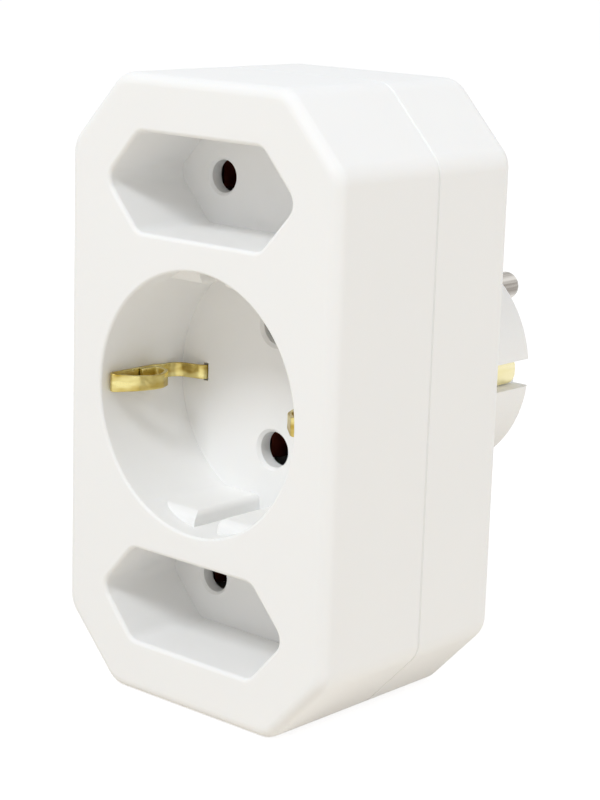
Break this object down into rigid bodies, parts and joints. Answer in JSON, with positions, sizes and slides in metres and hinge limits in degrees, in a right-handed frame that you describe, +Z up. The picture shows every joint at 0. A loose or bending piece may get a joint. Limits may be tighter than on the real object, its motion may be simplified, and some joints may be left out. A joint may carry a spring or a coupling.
{
  "type": "plug-in socket adapter",
  "caption": "Upright plug-in adapter block: earthed round plug on the back, recessed earthed round socket in the face, flat hexagonal sockets above and below it.",
  "frame": {"origin": "middle of the plug's flat face, between its pins", "axes": "+Y along the pins, into the wall; +Z up; the sockets face -Y"},
  "size_m": [0.053, 0.077, 0.094],
  "materials": {
    "white_moulding": "moulded, satin",
    "nickel_pin": "nickel plated, turned",
    "earth_brass": "rolled strip, bright",
    "contact_brass": "stamped strip",
    "rivet_brass": "turned",
    "screw_steel": "zinc plated"
  },
  "bodies": {
    "root": {"front_cover": "white_moulding", "rear_cover": "white_moulding", "plug_pin_top": "nickel_pin", "plug_pin_bottom": "nickel_pin", "socket_earth_strip": "earth_brass", "plug_earth_strip": "earth_brass", "live_bus_bar": "contact_brass", "neutral_bus_bar": "contact_brass", "round_contact_top": "contact_brass", "round_contact_bottom": "contact_brass", "flat_contact_upper_left": "contact_brass", "flat_contact_upper_right": "contact_brass", "flat_contact_lower_left": "contact_brass", "flat_contact_lower_right": "contact_brass", "contact_rivet_upper_left": "rivet_brass", "contact_rivet_upper_right": "rivet_brass", "contact_rivet_lower_left": "rivet_brass", "contact_rivet_lower_right": "rivet_brass", "contact_rivet_top": "rivet_brass", "contact_rivet_bottom": "rivet_brass", "earth_rivet_left": "rivet_brass", "earth_rivet_right": "rivet_brass", "cover_screw_upper_left": "screw_steel", "cover_screw_upper_right": "screw_steel", "cover_screw_lower_left": "screw_steel", "cover_screw_lower_right": "screw_steel"}
  },
  "joints": []
}
